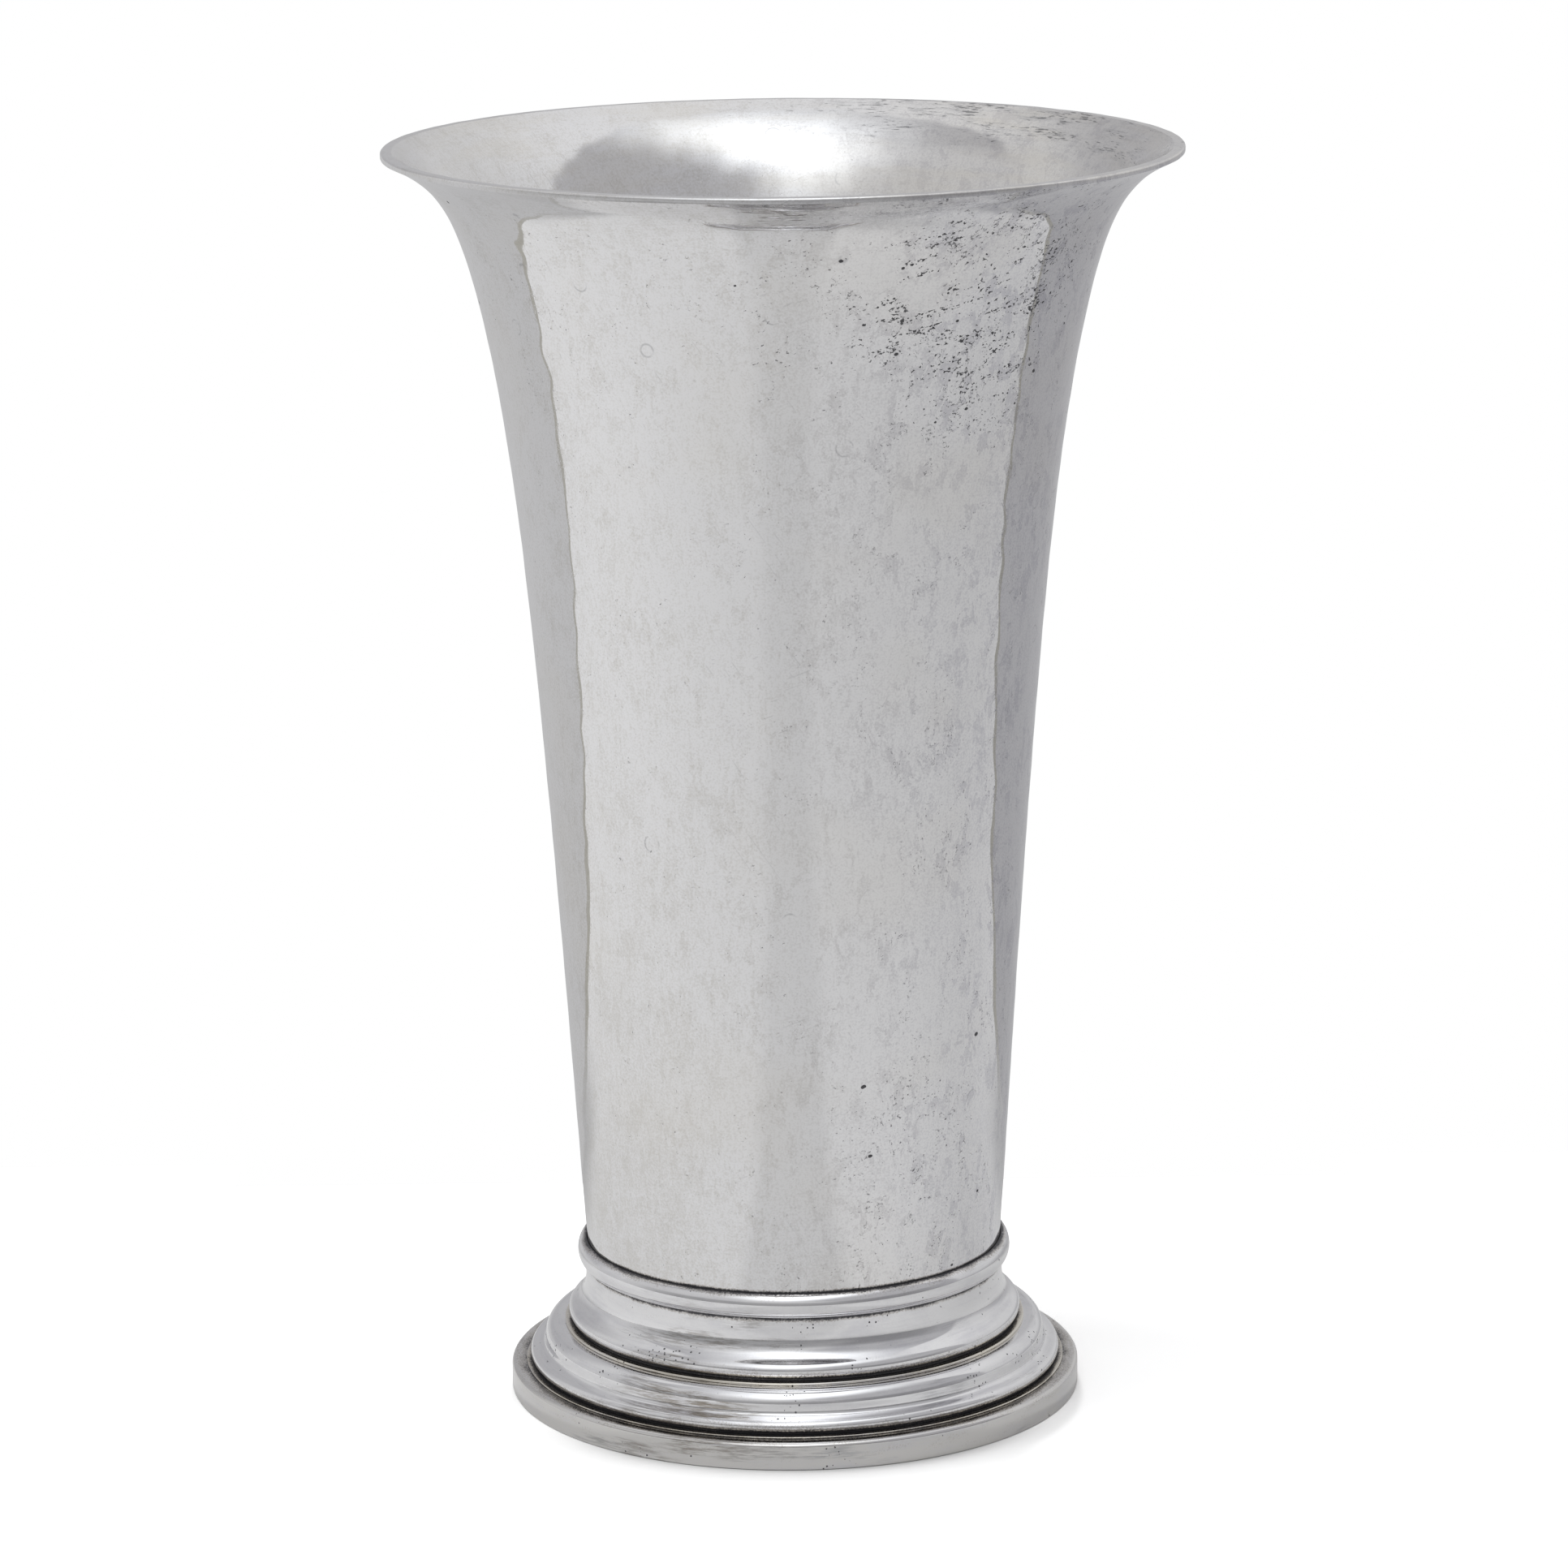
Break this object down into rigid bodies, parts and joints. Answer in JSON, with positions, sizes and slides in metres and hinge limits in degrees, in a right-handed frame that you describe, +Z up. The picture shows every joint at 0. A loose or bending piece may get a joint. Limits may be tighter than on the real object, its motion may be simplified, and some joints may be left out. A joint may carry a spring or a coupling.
{
  "type": "vase",
  "caption": "Silver flower vase: a planished body tapers up to a wide flared lip and stands on a stepped, moulded hollow foot with a bead at its top and a plain round plinth.",
  "frame": {"origin": "centre of the flat ring that the vase stands on", "axes": "+Z up along the vase's axis, from the foot to the lip; X and Y are free, because the vase is round"},
  "size_m": [0.1866, 0.1866, 0.3],
  "materials": {
    "silver_body": "hand-planished silver sheet, polished, with tarnish specks, streaks and fine scratches",
    "silver_moulding": "drawn and turned silver mouldings, polished, dark tarnish in the grooves",
    "silver_floor": "dull, unpolished silver inside and under the vase"
  },
  "bodies": {
    "root": {"body_shell": "silver_body", "floor_disc": "silver_floor", "collar_bead": "silver_moulding", "upper_stage": "silver_moulding", "upper_fillet": "silver_moulding", "lower_stage": "silver_moulding", "lower_fillet": "silver_moulding", "plinth_ring": "silver_moulding"}
  },
  "joints": []
}
